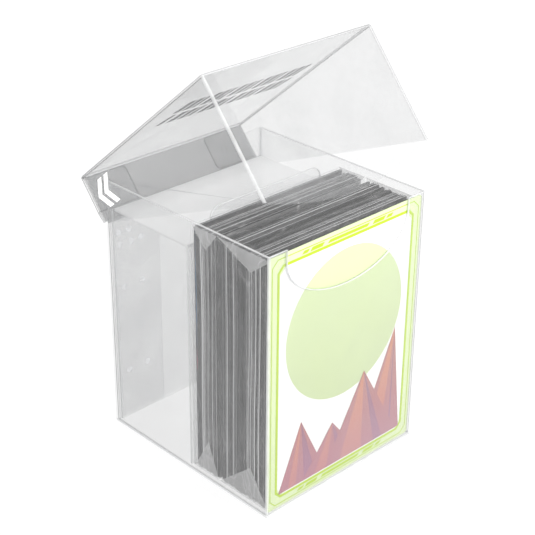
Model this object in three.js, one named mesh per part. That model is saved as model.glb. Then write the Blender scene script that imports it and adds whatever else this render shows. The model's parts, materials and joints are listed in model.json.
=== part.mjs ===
// A flip-top box for a deck of sleeved playing cards, folded from clear polypropylene sheet.
// The body and the lid are one die-cut sheet, bent at scored creases and welded at its glue flaps. Each flat
// panel of it is a mesh of its own here, and the lid turns on the living hinge at the top of the rear wall.
// Two film-wrapped packs of sleeved cards stand in the front, behind a printed insert. A flat divider with a
// finger tab stands behind them, and a folded riser fills the rear and makes a shallow tray of it.
//
// Millimetres. The origin is the middle of the underside, the front faces -Y, and +Z is up.
import * as THREE from "three";

// ---- Sheet
const sheet = 0.6; // thickness of the polypropylene
const crease = 0.1; // gap between two panels that a scored crease joins
const weld = 0.1; // gap between a glue flap and the panel that it is welded to

// ---- Cards
const sleeveWidth = 66;
const sleeveHeight = 91;
const cardThickness = 0.82; // a card in its two sleeves
const cardGap = 0.06; // air between one sleeved card and the next
const frontPackCards = 26;
const rearPackCards = 13;
const wrapThickness = 0.15; // clear film around each pack, open at its two sides
const wrapPlay = 0.1; // between the film and the cards
const packGap = 0.5; // between the two packs

// ---- Printed insert behind the front wall
const insertThickness = 0.35;
const insertPlay = 0.15; // in front of the insert, and behind it
const insertSidePlay = 0.2;
const insertTopRoom = 1.2; // from the insert's top edge up to the rim

// ---- Body
const bodyDepth = 78.6;
const sideRoom = 1.7; // between a sleeve's edge and the side wall
const headRoom = 2.5; // from the packs' tops up to the rim
const floorPlay = 0.3; // under the loose contents
const hingeDrop = 16; // from the rim down to the lid's hinge
const bodyFlapWidth = 21; // of the side walls' glue flaps, inside the rear wall
const bodyFlapCorner = 4;
const flapRimDrop = 1; // from the rim down to the top of those flaps
const notchHalfWidth = 27.4; // thumb notch in the front wall
const notchDepth = 20.5;
const notchSideRun = 4.5; // straight part of each side of the notch, below the rim

// ---- Flat divider
const dividerPlay = 0.3; // in front of the divider, and behind it
const dividerSidePlay = 1.2;
const dividerShoulderDrop = 10.5; // from the rim down to its shoulders
const tabWidth = 50;
const tabRise = 0.4; // of the finger tab above the rim
const tabCorner = 4;

// ---- Folded riser
const riserSidePlay = 0.5;
const riserRearPlay = 0.4;
const shelfDrop = 10.5; // from the rim down to the riser's shelf

// ---- Lid, measured as it is when shut
const lidOpening = 40; // degrees from shut
const hingeStandoff = 0.1; // the hinge line lies this far outside the rear wall
const lidSidePlay = 0.5;
const lidSwingPlay = 0.2; // between the front flap and the front wall's rim as the lid swings past it
const lidHeadPlay = 1; // between the rim and the lid's underside
const lidFrontSideDrop = 42; // height of the front flap at its two sides
const lidFrontTongue = 6.6; // how much lower the front flap's curved edge is in the middle
const lidFlapWidth = 18.5; // of the side panels' glue flaps, outside the lid's rear panel
const lidFlapCorner = 1.5;
const lidFlapHingeGap = 4; // keeps those flaps off the rear wall when the lid is folded right back

// ---- Worked out from the sizes above
const cardPitch = cardThickness + cardGap;
const bodyWidth = sleeveWidth + 2 * (sideRoom + sheet);
const wrap = wrapThickness + wrapPlay;
const packHeight = sleeveHeight + 2 * wrap;
const bodyHeight = sheet + crease + floorPlay + packHeight + headRoom;
const innerHalfWidth = bodyWidth / 2 - sheet;
const frontFace = -bodyDepth / 2;
const rearFace = bodyDepth / 2;
const floorTop = sheet + crease;
const contentsFoot = floorTop + floorPlay;
const hingeY = rearFace + hingeStandoff;
const hingeZ = bodyHeight - hingeDrop;

const insertY = frontFace + sheet + insertPlay;
const frontPackY = insertY + insertThickness + insertPlay;
const frontPackDepth = frontPackCards * cardPitch - cardGap + 2 * wrap;
const rearPackY = frontPackY + frontPackDepth + packGap;
const rearPackDepth = rearPackCards * cardPitch - cardGap + 2 * wrap;
const dividerY = rearPackY + rearPackDepth + dividerPlay;
const riserY = dividerY + sheet + dividerPlay;
const bodyFlapY = rearFace - sheet - weld - sheet;
const riserDepth = bodyFlapY - riserRearPlay - riserY;
const shelfTop = bodyHeight - shelfDrop;

const lidHalfWidth = bodyWidth / 2 + lidSidePlay + sheet;
const rimReach = Math.hypot(bodyDepth + hingeStandoff, hingeDrop); // hinge line to the front wall's rim
const lidDepth = rimReach + lidSwingPlay + sheet; // hinge line to the front flap's outer face
const lidTop = hingeDrop + lidHeadPlay + sheet; // above the hinge line
const lidUnderside = lidTop - sheet;

// ---- Materials
const plastic = (opacity) =>
  new THREE.MeshStandardMaterial({
    color: 0xe9edee,
    roughness: 0.18,
    metalness: 0,
    transparent: true,
    opacity,
  });
const bodySheet = plastic(0.3);
const lidSheet = plastic(0.3);
const dividerSheet = plastic(0.3);
const riserSheet = plastic(0.5);
const wrapFilm = plastic(0.15);
const insertPrint = new THREE.MeshStandardMaterial({ color: 0xdfeecb, roughness: 0.45, metalness: 0 });
const sleeveFilm = new THREE.MeshStandardMaterial({ color: 0x3c3c40, roughness: 0.35, metalness: 0 });

// ---- Outlines
// A rectangle whose upper corners can be rounded, each with its own radius.
function rectangle(left, bottom, right, top, leftRadius = 0, rightRadius = 0) {
  const outline = new THREE.Shape();
  outline.moveTo(left, bottom);
  outline.lineTo(right, bottom);
  outline.lineTo(right, top - rightRadius);
  if (rightRadius) outline.absarc(right - rightRadius, top - rightRadius, rightRadius, 0, Math.PI / 2);
  outline.lineTo(left + leftRadius, top);
  if (leftRadius) outline.absarc(left + leftRadius, top - leftRadius, leftRadius, Math.PI / 2, Math.PI);
  outline.closePath();
  return outline;
}

function polygon(...points) {
  return new THREE.Shape(points.map(([u, v]) => new THREE.Vector2(u, v)));
}

// ---- Panels: an outline made as thick as the sheet, standing or lying in the frame
const across = new THREE.Vector3(1, 0, 0);
const back = new THREE.Vector3(0, 1, 0);
const up = new THREE.Vector3(0, 0, 1);
const arcSteps = 10;

function plate(name, outline, thickness, material, basis, offset) {
  const geometry = new THREE.ExtrudeGeometry(outline, {
    depth: thickness,
    bevelEnabled: false,
    curveSegments: arcSteps,
  });
  geometry.translate(0, 0, offset);
  geometry.applyMatrix4(new THREE.Matrix4().makeBasis(...basis));
  const mesh = new THREE.Mesh(geometry, material);
  mesh.name = name;
  return mesh;
}

// Outline in X and Z; the panel runs from y towards the rear.
function uprightAcross(name, outline, y, material, thickness = sheet) {
  const mesh = plate(name, outline, thickness, material, [across, up, back.clone().negate()], -thickness);
  mesh.position.y = y;
  return mesh;
}

// Outline in Y and Z; the panel runs from x towards the right.
function uprightAlong(name, outline, x, material, thickness = sheet) {
  const mesh = plate(name, outline, thickness, material, [back, up, across], 0);
  mesh.position.x = x;
  return mesh;
}

// Outline in X and Y; the panel runs up from z.
function lying(name, outline, z, material) {
  const mesh = plate(name, outline, sheet, material, [across, back, up], 0);
  mesh.position.z = z;
  return mesh;
}

// ---- Body
// The front wall's outline: a thumb notch with short straight sides and a half-ellipse below them.
function frontWallOutline() {
  const half = bodyWidth / 2;
  const shoulder = bodyHeight - notchSideRun;
  const outline = new THREE.Shape();
  outline.moveTo(-half, floorTop);
  outline.lineTo(half, floorTop);
  outline.lineTo(half, bodyHeight);
  outline.lineTo(notchHalfWidth, bodyHeight);
  outline.lineTo(notchHalfWidth, shoulder);
  outline.absellipse(0, shoulder, notchHalfWidth, notchDepth - notchSideRun, 0, Math.PI, true);
  outline.lineTo(-notchHalfWidth, bodyHeight);
  outline.lineTo(-half, bodyHeight);
  outline.closePath();
  return outline;
}

function body() {
  const half = bodyWidth / 2;
  const group = new THREE.Group();
  group.add(lying("bottom_panel", rectangle(-half, frontFace, half, rearFace), 0, bodySheet));
  group.add(uprightAcross("front_wall", frontWallOutline(), frontFace, bodySheet));
  const rearOutline = rectangle(-half, floorTop, half, hingeZ - crease);
  group.add(uprightAcross("rear_wall", rearOutline, rearFace - sheet, bodySheet));
  const sideOutline = rectangle(frontFace + sheet + crease, floorTop, bodyFlapY + sheet, bodyHeight);
  group.add(uprightAlong("left_wall", sideOutline, -half, bodySheet));
  group.add(uprightAlong("right_wall", sideOutline, half - sheet, bodySheet));
  const outer = innerHalfWidth - crease;
  const inner = outer - bodyFlapWidth;
  const flapTop = bodyHeight - flapRimDrop;
  const leftFlap = rectangle(-outer, floorTop, -inner, flapTop, 0, bodyFlapCorner);
  group.add(uprightAcross("left_glue_flap", leftFlap, bodyFlapY, bodySheet));
  const rightFlap = rectangle(inner, floorTop, outer, flapTop, bodyFlapCorner, 0);
  group.add(uprightAcross("right_glue_flap", rightFlap, bodyFlapY, bodySheet));
  return group;
}

// ---- Lid, made shut around its hinge line and then turned open
// The front flap's outline: its lower edge is one arc, lowest in the middle.
function frontFlapOutline() {
  const sideEdge = lidTop - lidFrontSideDrop;
  const radius = (lidHalfWidth ** 2 + lidFrontTongue ** 2) / (2 * lidFrontTongue);
  const centre = sideEdge - lidFrontTongue + radius;
  const halfAngle = Math.asin(lidHalfWidth / radius);
  const outline = new THREE.Shape();
  outline.moveTo(lidHalfWidth, lidUnderside - crease);
  outline.lineTo(-lidHalfWidth, lidUnderside - crease);
  outline.absarc(0, centre, radius, -Math.PI / 2 - halfAngle, -Math.PI / 2 + halfAngle);
  outline.closePath();
  return outline;
}

function lid() {
  const inner = lidHalfWidth - sheet;
  const rear = -hingeStandoff;
  const group = new THREE.Group();
  const topOutline = rectangle(-lidHalfWidth, -lidDepth, lidHalfWidth, rear);
  group.add(lying("lid_top_panel", topOutline, lidUnderside, lidSheet));
  group.add(uprightAcross("lid_front_flap", frontFlapOutline(), -lidDepth, lidSheet));
  const rearOutline = rectangle(-inner + crease, crease, inner - crease, lidUnderside - crease);
  group.add(uprightAcross("lid_rear_panel", rearOutline, rear - sheet, lidSheet));
  const frontEnd = -lidDepth + sheet + crease;
  const sideOutline = polygon(
    [frontEnd, lidTop - lidFrontSideDrop],
    [rear, crease],
    [rear, lidUnderside - crease],
    [frontEnd, lidUnderside - crease],
  );
  group.add(uprightAlong("lid_left_side", sideOutline, -lidHalfWidth, lidSheet));
  group.add(uprightAlong("lid_right_side", sideOutline, inner, lidSheet));
  const flapInner = lidHalfWidth - lidFlapWidth;
  const flapTop = lidUnderside - crease;
  const leftFlap = rectangle(-lidHalfWidth, lidFlapHingeGap, -flapInner, flapTop, 0, lidFlapCorner);
  group.add(uprightAcross("lid_left_glue_flap", leftFlap, rear + weld, lidSheet));
  const rightFlap = rectangle(flapInner, lidFlapHingeGap, lidHalfWidth, flapTop, lidFlapCorner, 0);
  group.add(uprightAcross("lid_right_glue_flap", rightFlap, rear + weld, lidSheet));
  group.position.set(0, hingeY, hingeZ);
  group.rotation.x = -THREE.MathUtils.degToRad(lidOpening);
  return group;
}

// ---- Flat divider: shoulders at the height of the riser's shelf, and a finger tab above them
function divider() {
  const half = innerHalfWidth - dividerSidePlay;
  const tab = tabWidth / 2;
  const shoulder = bodyHeight - dividerShoulderDrop;
  const tabTop = bodyHeight + tabRise;
  const outline = new THREE.Shape();
  outline.moveTo(-half, contentsFoot);
  outline.lineTo(half, contentsFoot);
  outline.lineTo(half, shoulder);
  outline.lineTo(tab, shoulder);
  outline.lineTo(tab, tabTop - tabCorner);
  outline.absarc(tab - tabCorner, tabTop - tabCorner, tabCorner, 0, Math.PI / 2);
  outline.lineTo(-tab + tabCorner, tabTop);
  outline.absarc(-tab + tabCorner, tabTop - tabCorner, tabCorner, Math.PI / 2, Math.PI);
  outline.lineTo(-tab, shoulder);
  outline.lineTo(-half, shoulder);
  outline.closePath();
  return uprightAcross("tab_divider", outline, dividerY, dividerSheet);
}

// ---- Riser: one sheet folded into an upturned U
function riser() {
  const half = innerHalfWidth - riserSidePlay;
  const shelfFoot = shelfTop - sheet;
  const leg = rectangle(-half, contentsFoot, half, shelfFoot - crease);
  const group = new THREE.Group();
  group.add(uprightAcross("riser_front_leg", leg, 0, riserSheet));
  group.add(lying("riser_shelf", rectangle(-half, 0, half, riserDepth), shelfFoot, riserSheet));
  group.add(uprightAcross("riser_rear_leg", leg, riserDepth - sheet, riserSheet));
  group.position.y = riserY;
  return group;
}

// ---- Contents
function insert() {
  const half = innerHalfWidth - insertSidePlay;
  const outline = rectangle(-half, contentsFoot, half, bodyHeight - insertTopRoom);
  return uprightAcross("printed_insert", outline, insertY, insertPrint, insertThickness);
}

// A pack's film is a tube around its front, top, rear and underside.
function pack(name, count, depth, y) {
  const half = sleeveWidth / 2;
  const cardFoot = contentsFoot + wrap;
  const outline = rectangle(-half, cardFoot, half, cardFoot + sleeveHeight);
  const group = new THREE.Group();
  for (let card = 0; card < count; card++) {
    const label = name + "_card_" + String(card + 1).padStart(2, "0");
    group.add(uprightAcross(label, outline, wrap + card * cardPitch, sleeveFilm, cardThickness));
  }
  const film = rectangle(0, contentsFoot, depth, contentsFoot + packHeight);
  const bore = wrapThickness;
  film.holes.push(rectangle(bore, contentsFoot + bore, depth - bore, contentsFoot + packHeight - bore));
  group.add(uprightAlong(name + "_wrap", film, -half, wrapFilm, sleeveWidth));
  group.position.y = y;
  return group;
}

const deckBox = new THREE.Group();
deckBox.add(body());
deckBox.add(lid());
deckBox.add(insert());
deckBox.add(pack("front_pack", frontPackCards, frontPackDepth, frontPackY));
deckBox.add(pack("rear_pack", rearPackCards, rearPackDepth, rearPackY));
deckBox.add(divider());
deckBox.add(riser());

export default deckBox;
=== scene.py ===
"""Builds the finished look of a clear folded deck box around its fixed model.

The frame gives every size and place. The box and its lid are bent sheets, the packs are sleeved cards in
clear film, and a folded riser, a flat divider and a printed insert stand with them.
"""

import json
import math
import random

import bmesh
import bpy
from bpy.props import FloatProperty, FloatVectorProperty, IntProperty, PointerProperty
from mathutils import Matrix, Vector, noise


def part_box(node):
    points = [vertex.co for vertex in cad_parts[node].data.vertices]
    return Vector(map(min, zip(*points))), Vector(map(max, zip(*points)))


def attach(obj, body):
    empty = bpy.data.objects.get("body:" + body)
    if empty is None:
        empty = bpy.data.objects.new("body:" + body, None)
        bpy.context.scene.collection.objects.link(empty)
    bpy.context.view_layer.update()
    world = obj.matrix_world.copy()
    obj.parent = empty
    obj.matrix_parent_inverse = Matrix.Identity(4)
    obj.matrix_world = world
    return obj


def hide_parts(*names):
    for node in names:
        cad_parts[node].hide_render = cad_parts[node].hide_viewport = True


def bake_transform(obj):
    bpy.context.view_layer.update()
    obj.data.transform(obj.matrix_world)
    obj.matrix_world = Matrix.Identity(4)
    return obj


bl_info = {
    "name": "Deck Box",
    "version": (1, 0, 0),
    "blender": (4, 5, 0),
    "location": "3D View > Sidebar > Deck Box",
    "description": "Builds a clear folded deck box with its cards, divider and riser",
    "category": "Add Mesh",
}

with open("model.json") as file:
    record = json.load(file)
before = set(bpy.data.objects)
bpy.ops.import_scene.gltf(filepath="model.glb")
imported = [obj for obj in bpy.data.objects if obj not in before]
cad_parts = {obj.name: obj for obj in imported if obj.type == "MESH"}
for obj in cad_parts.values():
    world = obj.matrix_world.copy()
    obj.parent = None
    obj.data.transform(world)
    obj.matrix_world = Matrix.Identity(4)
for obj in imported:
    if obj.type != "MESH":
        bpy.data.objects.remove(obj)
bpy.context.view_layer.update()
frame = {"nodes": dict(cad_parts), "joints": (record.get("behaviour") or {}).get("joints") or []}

MM = 0.001
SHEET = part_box("bottom_panel")[1].z
HINGE = next(joint for joint in frame["joints"] if joint["name"] == "lid_hinge")
HINGE_POINT = Vector(HINGE["pos_m"])
OPENING = math.radians(-HINGE["range_deg"][0])
LID_PLACE = Matrix.Translation(HINGE_POINT) @ Matrix.Rotation(-OPENING, 4, "X")

# Looks of a folded sheet, in the order that clear_sheet gives them.
FACE, FOLD, DENSE, EDGE, SOFT_EDGE = range(5)
EDGE_MARGIN = 0.3 * MM


def middle(node):
    """The middle of a node's box, which on a flat panel is on its middle plane."""
    low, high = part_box(node)
    return (low + high) / 2


def shut_box(node):
    """A lid node's box as it is with the lid shut, measured from the hinge line."""
    back = LID_PLACE.inverted()
    points = [back @ vertex.co for vertex in frame["nodes"][node].data.vertices]
    low = Vector([min(point[axis] for point in points) for axis in range(3)])
    high = Vector([max(point[axis] for point in points) for axis in range(3)])
    return low, high


def shut_middle(node):
    """The middle of that box."""
    low, high = shut_box(node)
    return (low + high) / 2


def nodes_named(start):
    """The frame's nodes whose names start so, in order."""
    return sorted(name for name in frame["nodes"] if name.startswith(start))


# ---- Settings


class SheetSettings(bpy.types.PropertyGroup):
    """Sizes and colours of the folded polypropylene."""

    fold_radius: FloatProperty(
        name="Fold radius",
        description="Bend radius on the middle of the sheet",
        default=0.5 * MM,
        unit="LENGTH",
    )
    edge_round: FloatProperty(
        name="Edge rounding",
        description="Rounding of the sheet's cut edges",
        default=0.12 * MM,
        unit="LENGTH",
    )
    hinge_thickness: FloatProperty(
        name="Hinge thickness",
        description="Thickness of the living hinge's web",
        default=0.3 * MM,
        unit="LENGTH",
    )
    weld_radius: FloatProperty(
        name="Weld spot radius",
        description="Radius of a weld spot on a glue flap",
        default=1.2 * MM,
        unit="LENGTH",
    )
    tint: FloatVectorProperty(
        name="Sheet tint",
        description="Colour of the clear sheet",
        default=(0.46, 0.465, 0.47),
        subtype="COLOR",
    )
    frost_tint: FloatVectorProperty(
        name="Riser tint",
        description="Colour of the frosted riser",
        default=(0.98, 0.98, 0.98),
        subtype="COLOR",
    )


class CardSettings(bpy.types.PropertyGroup):
    """Sizes of the sleeved cards and their film."""

    seed: IntProperty(name="Seed", description="Seed of the cards' scatter", default=11)
    sleeve_film: FloatProperty(
        name="Sleeve film",
        description="Thickness of one side of a sleeve",
        default=0.14 * MM,
        unit="LENGTH",
    )
    card_margin: FloatProperty(
        name="Card margin",
        description="From a sleeve's edges in to the card",
        default=1.4 * MM,
        unit="LENGTH",
    )
    card_corner: FloatProperty(
        name="Card corner", description="Corner radius of a card", default=3 * MM, unit="LENGTH"
    )
    drop: FloatProperty(
        name="Uneven tops",
        description="How far the lowest sleeve's top is under the highest's",
        default=1.1 * MM,
        unit="LENGTH",
    )
    sideways: FloatProperty(
        name="Uneven sides",
        description="How far a sleeve stands to one side",
        default=0.45 * MM,
        unit="LENGTH",
    )
    film: FloatProperty(
        name="Pack film",
        description="Thickness of the film around a pack",
        default=0.08 * MM,
        unit="LENGTH",
    )


class PrintSettings(bpy.types.PropertyGroup):
    """Colours of the printed insert, and the thickness of its ink and of the marks on the lid."""

    ink: FloatProperty(
        name="Ink thickness", description="How thick a printed layer is", default=0.018 * MM, unit="LENGTH"
    )
    border: FloatVectorProperty(
        name="Border",
        description="Pale colour of the insert's border",
        default=(0.68, 0.78, 0.45),
        subtype="COLOR",
    )
    line: FloatVectorProperty(
        name="Border line",
        description="Colour of the lines on the border",
        default=(0.46, 0.64, 0.005),
        subtype="COLOR",
    )
    disc: FloatVectorProperty(
        name="Disc", description="Colour of the large disc", default=(0.60, 0.70, 0.39), subtype="COLOR"
    )
    hill_light: FloatVectorProperty(
        name="Lit hillside",
        description="Colour of the hills' lit sides",
        default=(0.58, 0.22, 0.11),
        subtype="COLOR",
    )
    hill_shade: FloatVectorProperty(
        name="Shaded hillside",
        description="Colour of the hills' shaded sides",
        default=(0.24, 0.10, 0.17),
        subtype="COLOR",
    )


class StageSettings(bpy.types.PropertyGroup):
    """The camera and the floor."""

    azimuth: FloatProperty(
        name="Azimuth",
        description="Direction of view, from straight at the front",
        default=math.radians(-44.09),
        subtype="ANGLE",
    )
    elevation: FloatProperty(
        name="Elevation",
        description="How far the camera looks down",
        default=math.radians(27.39),
        subtype="ANGLE",
    )
    roll: FloatProperty(
        name="Roll",
        description="Turn of the camera about its own axis",
        default=math.radians(0.51),
        subtype="ANGLE",
    )
    distance: FloatProperty(
        name="Distance",
        description="From the camera to the point that it looks at",
        default=455.9 * MM,
        unit="LENGTH",
    )
    aim: FloatVectorProperty(
        name="Aim",
        description="Point that the camera looks at",
        default=(2.42 * MM, 0.24 * MM, 63.58 * MM),
        subtype="TRANSLATION",
        unit="LENGTH",
    )
    lens: FloatProperty(
        name="Lens", description="Focal length", default=90.35, unit="CAMERA"
    )
    floor: FloatVectorProperty(
        name="Floor", description="Colour of the floor", default=(0.10, 0.10, 0.10), subtype="COLOR"
    )


# ---- Node trees


def add(tree, kind, attributes=None, **sockets):
    """A node with its attributes set, and its sockets given a value or linked from another socket."""
    made = tree.nodes.new(kind)
    for name, value in (attributes or {}).items():
        setattr(made, name, value)
    for name, value in sockets.items():
        plug(tree, made.inputs[name.replace("_", " ")], value)
    return made


def plug(tree, socket, value):
    """Gives a socket a value, or links it from another socket."""
    if isinstance(value, bpy.types.NodeSocket):
        tree.links.new(value, socket)
    else:
        socket.default_value = value


def math_node(tree, operation, first, second=0.0, clamp=False):
    """One sum on two values or sockets."""
    made = tree.nodes.new("ShaderNodeMath")
    made.operation = operation
    made.use_clamp = clamp
    plug(tree, made.inputs[0], first)
    plug(tree, made.inputs[1], second)
    return made.outputs[0]


def remap(tree, value, low, high, to_low, to_high):
    """value, taken from the range low to high to another range."""
    made = add(tree, "ShaderNodeMapRange", Value=value, From_Min=low, From_Max=high)
    plug(tree, made.inputs["To Min"], to_low)
    plug(tree, made.inputs["To Max"], to_high)
    return made.outputs["Result"]


def blend_colour(tree, factor, first, second):
    """A colour between first and second."""
    made = tree.nodes.new("ShaderNodeMix")
    made.data_type = "RGBA"
    plug(tree, made.inputs[0], factor)
    plug(tree, made.inputs[6], first)
    plug(tree, made.inputs[7], second)
    return made.outputs[2]


def rgba(colour, scale=1.0):
    """A colour property as a socket's value, made darker or lighter."""
    return (*[min(channel * scale, 1.0) for channel in colour], 1.0)


def grey(level, blue=0.0):
    """A grey as a socket's value, a little bluer if asked."""
    return (level, level, level + blue, 1.0)


def object_place(tree):
    """A point of the piece in the piece's own coordinates."""
    return add(tree, "ShaderNodeTexCoord").outputs["Object"]


def place_along(tree, axis):
    """How far along X, Y or Z a point of the piece is."""
    return add(tree, "ShaderNodeSeparateXYZ", Vector=object_place(tree)).outputs[axis]


def colour_steps(tree, share, first, last, between, interpolation="LINEAR"):
    """A colour from a row of steps, each at its own share of the row."""
    made = add(tree, "ShaderNodeValToRGB", Fac=share)
    steps = made.color_ramp
    steps.interpolation = interpolation
    steps.elements[0].color = first
    steps.elements[1].position, steps.elements[1].color = last
    for position, colour in between:
        steps.elements.new(position).color = rgba(colour)
    return made.outputs["Color"]


def node_group(name, inputs, outputs):
    """An empty shader node group with float inputs and named outputs."""
    tree = bpy.data.node_groups.new(name, "ShaderNodeTree")
    for label, value in inputs.items():
        socket = tree.interface.new_socket(name=label, in_out="INPUT", socket_type="NodeSocketFloat")
        socket.default_value = value
    for label in outputs:
        tree.interface.new_socket(name=label, in_out="OUTPUT", socket_type="NodeSocketFloat")
    return tree, tree.nodes.new("NodeGroupInput"), tree.nodes.new("NodeGroupOutput")


def handling_marks():
    """Smudges and hairline scratches, as plastic gets from being handled."""
    if "Handling marks" in bpy.data.node_groups:
        return bpy.data.node_groups["Handling marks"]
    inputs = {"Smudge size": 60.0, "Scratch size": 900.0, "Scratch share": 0.3}
    tree, given, result = node_group("Handling marks", inputs, ("Mask", "Height"))
    place = object_place(tree)
    smudge = add(tree, "ShaderNodeTexNoise", Vector=place, Scale=given.outputs["Smudge size"], Detail=4.0)
    turned = add(tree, "ShaderNodeMapping", Vector=place, Rotation=(0.5, 0.7, 0.4), Scale=(1.0, 1.0, 0.04))
    scratch = add(
        tree,
        "ShaderNodeTexNoise",
        Vector=turned.outputs[0],
        Scale=given.outputs["Scratch size"],
        Detail=2.0,
        Roughness=0.6,
    )
    hairlines = remap(tree, scratch.outputs["Fac"], 0.62, 0.72, 0.0, 1.0)
    share = math_node(tree, "MULTIPLY", hairlines, given.outputs["Scratch share"])
    soft = remap(tree, smudge.outputs["Fac"], 0.3, 0.75, 0.0, 1.0)
    tree.links.new(math_node(tree, "ADD", soft, share, clamp=True), result.inputs["Mask"])
    raised = math_node(tree, "MULTIPLY", soft, 0.4)
    tree.links.new(math_node(tree, "SUBTRACT", raised, share), result.inputs["Height"])
    return tree


def crinkle():
    """Creased and slightly slack film."""
    if "Crinkle" in bpy.data.node_groups:
        return bpy.data.node_groups["Crinkle"]
    tree, given, result = node_group("Crinkle", {"Size": 60.0}, ("Mask", "Height"))
    place = object_place(tree)
    turned = add(tree, "ShaderNodeMapping", Vector=place, Rotation=(0.3, 0.2, 0.5), Scale=(1.0, 2.2, 1.0))
    slack = add(
        tree,
        "ShaderNodeTexNoise",
        Vector=turned.outputs[0],
        Scale=given.outputs["Size"],
        Detail=3.0,
        Distortion=0.8,
    )
    off = math_node(tree, "ABSOLUTE", math_node(tree, "SUBTRACT", slack.outputs["Fac"], 0.5))
    ridge = remap(tree, off, 0.0, 0.025, 1.0, 0.0)
    tree.links.new(ridge, result.inputs["Mask"])
    tree.links.new(math_node(tree, "ADD", slack.outputs["Fac"], ridge), result.inputs["Height"])
    return tree


def print_grain():
    """The dots and fibres of ink on card."""
    if "Print grain" in bpy.data.node_groups:
        return bpy.data.node_groups["Print grain"]
    tree, given, result = node_group("Print grain", {"Size": 2500.0}, ("Mask", "Height"))
    place = object_place(tree)
    dots = add(tree, "ShaderNodeTexNoise", Vector=place, Scale=given.outputs["Size"], Detail=2.0)
    cloud = add(tree, "ShaderNodeTexNoise", Vector=place, Scale=40.0, Detail=5.0)
    both = math_node(tree, "ADD", dots.outputs["Fac"], cloud.outputs["Fac"])
    tree.links.new(math_node(tree, "MULTIPLY", both, 0.5), result.inputs["Mask"])
    tree.links.new(dots.outputs["Fac"], result.inputs["Height"])
    return tree


def effect(tree, group, **values):
    """A shared effect placed in a material, with the material's own values."""
    made = tree.nodes.new("ShaderNodeGroup")
    made.node_tree = group
    for name, value in values.items():
        made.inputs[name.replace("_", " ")].default_value = value
    return made


def new_material(name):
    """A material with a Principled shader, its tree and the shader."""
    material = bpy.data.materials.new(name)
    material.use_nodes = True
    tree = material.node_tree
    return material, tree, tree.nodes["Principled BSDF"]


def roughen(tree, shader, source, low, high, bump):
    """Roughness and a fine bump, both from a shared effect."""
    plug(tree, shader.inputs["Roughness"], remap(tree, source.outputs["Mask"], 0.0, 1.0, low, high))
    raised = add(tree, "ShaderNodeBump", Strength=bump, Distance=0.02 * MM, Height=source.outputs["Height"])
    tree.links.new(raised.outputs["Normal"], shader.inputs["Normal"])


def clear_finish(name, tint, facing, grazing, haze, roughness, lift=1.2):
    """Clear plastic sheet. It is more solid where the eye grazes it, and where it is smudged. The smudge
    mask also stands in for streaks of reflection and shade, so it is partly painted reflection: lighter and
    more solid along the smudges.
    """
    material, tree, shader = new_material(name)
    marks = effect(tree, handling_marks())
    # Lighter where smudged: partly real smudges, partly painted reflection.
    colour = blend_colour(tree, marks.outputs["Mask"], rgba(tint), rgba(tint, lift))
    tree.links.new(colour, shader.inputs["Base Color"])
    rim = add(tree, "ShaderNodeLayerWeight", Blend=0.35).outputs["Facing"]
    solid = remap(tree, math_node(tree, "POWER", rim, 2.0), 0.0, 1.0, facing, grazing)
    # More solid where smudged: partly real smudges, partly painted streaks of reflection and shade.
    smudge_and_painted_streaks = math_node(tree, "MULTIPLY", marks.outputs["Mask"], haze)
    tree.links.new(math_node(tree, "ADD", solid, smudge_and_painted_streaks, clamp=True), shader.inputs["Alpha"])
    roughen(tree, shader, marks, roughness, roughness + 0.12, 0.15)
    shader.inputs["IOR"].default_value = 1.49
    return material


def painted_glow_finish(name, colour, alpha, glow, falloff=4.0):
    """The look of a cut edge or a fold: a painted glow makes it bright, and a painted dark outline makes it
    darker where the eye grazes it.
    """
    material, tree, shader = new_material(name)
    marks = effect(tree, handling_marks(), Smudge_size=220.0)
    bright = blend_colour(tree, marks.outputs["Mask"], rgba(colour, 0.92), rgba(colour))
    rim = add(tree, "ShaderNodeLayerWeight", Blend=0.5).outputs["Facing"]
    # Painted dark outline: the colour and the glow go dark towards grazing angles.
    outline = math_node(tree, "POWER", rim, falloff)
    tree.links.new(blend_colour(tree, outline, bright, rgba(colour, 0.15)), shader.inputs["Base Color"])
    tree.links.new(blend_colour(tree, outline, bright, grey(0.0)), shader.inputs["Emission Color"])
    solid = remap(tree, marks.outputs["Mask"], 0.0, 1.0, alpha - 0.12, alpha)
    grazed = math_node(tree, "MULTIPLY", outline, 0.6)
    tree.links.new(math_node(tree, "ADD", solid, grazed, clamp=True), shader.inputs["Alpha"])
    # Painted glow: the edge shines though it is no lamp.
    shader.inputs["Emission Strength"].default_value = glow
    roughen(tree, shader, marks, 0.12, 0.3, 0.1)
    return material


def clear_sheet(name="clear_sheet", solid=0.06, grazing=0.5, dense=0.025, shade=1.0, haze=0.03):
    """A folded sheet's looks, made once: faces, folds, denser panels, cut edges and softer edges. Folds and
    cut edges have a painted glow and a painted dark outline; a shade below 1 darkens the denser panels' tint
    as painted shade.
    """
    names = (name, name + "_fold", name + "_dense", name + "_edge", name + "_soft_edge")
    if name not in bpy.data.materials:
        tint = bpy.context.scene.deck_sheet.tint
        clear_finish(names[0], tint, solid, grazing, haze, 0.06)
        # Folds: whitish, as bent sheet whitens, with a painted glow and a painted dark outline.
        painted_glow_finish(names[1], (0.82, 0.825, 0.83), 0.58, 0.06, 1.4)
        # Denser panels: their tint is darkened by shade, a painted shade.
        clear_finish(names[2], [channel * shade for channel in tint], dense, grazing, 0.03, 0.1)
        # Cut edges: a painted glow and a painted dark outline.
        painted_glow_finish(names[3], (0.78, 0.785, 0.79), 0.8, 0.16, 2.2)
        clear_finish(names[4], tint, 0.06, 0.15, 0.03, 0.1)
    return [bpy.data.materials[name] for name in names]


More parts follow.
